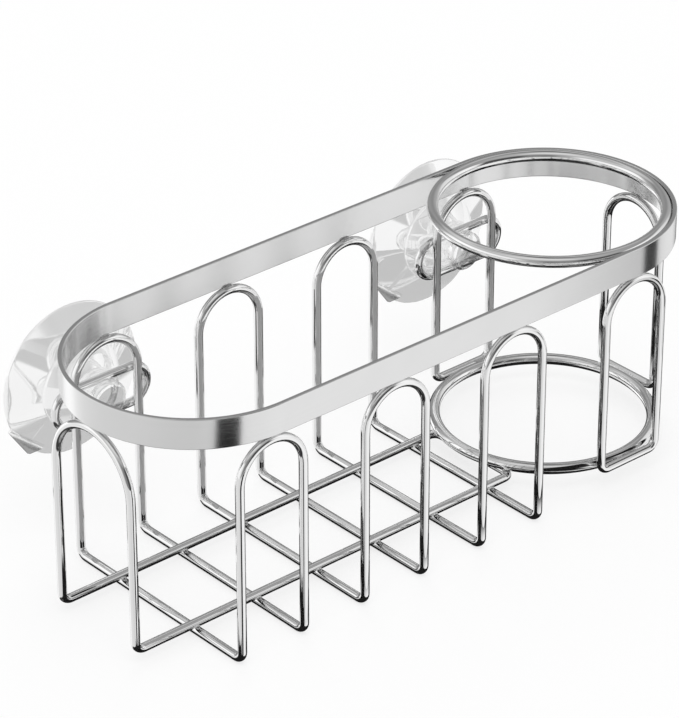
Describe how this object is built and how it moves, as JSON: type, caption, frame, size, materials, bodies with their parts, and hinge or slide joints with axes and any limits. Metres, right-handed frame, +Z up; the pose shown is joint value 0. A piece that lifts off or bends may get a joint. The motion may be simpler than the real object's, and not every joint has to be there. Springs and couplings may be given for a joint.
{
  "type": "sponge and brush holder",
  "caption": "Stainless wire caddy with a stadium rim, arched wire sides, a sponge basket and a ringed well for a brush, hung on a wall by clear suction cups that slide in loops.",
  "frame": {"origin": "on the surface below the holder, at the middle of its length and depth", "axes": "+X along the rim towards the brush rings, +Y towards the wall, +Z up"},
  "size_m": [0.24, 0.1046, 0.0901],
  "materials": {
    "rim_steel": "polished stainless strip",
    "wire_steel": "bright electropolished stainless wire",
    "clear_cup": "clear soft vinyl, smooth"
  },
  "bodies": {
    "caddy": {"rim_band": "rim_steel", "upper_brush_ring": "wire_steel", "lower_brush_ring": "wire_steel", "long_frame": "wire_steel", "front_brush_loop": "wire_steel", "back_brush_loop": "wire_steel", "end_brush_loop": "wire_steel", "cross_hoop_1": "wire_steel", "cross_hoop_2": "wire_steel", "cross_hoop_3": "wire_steel", "hanger_loop_left": "wire_steel", "hanger_loop_right": "wire_steel"},
    "cup_left": {"suction_cup_left": "clear_cup"},
    "cup_right": {"suction_cup_right": "clear_cup"}
  },
  "joints": [
    {"name": "cup_left_slide", "type": "slide", "parent": "caddy", "child": "cup_left", "axis": [1, 0, 0], "range_m": [-0.004, 0.004]},
    {"name": "cup_right_slide", "type": "slide", "parent": "caddy", "child": "cup_right", "axis": [1, 0, 0], "range_m": [-0.004, 0.004]}
  ]
}
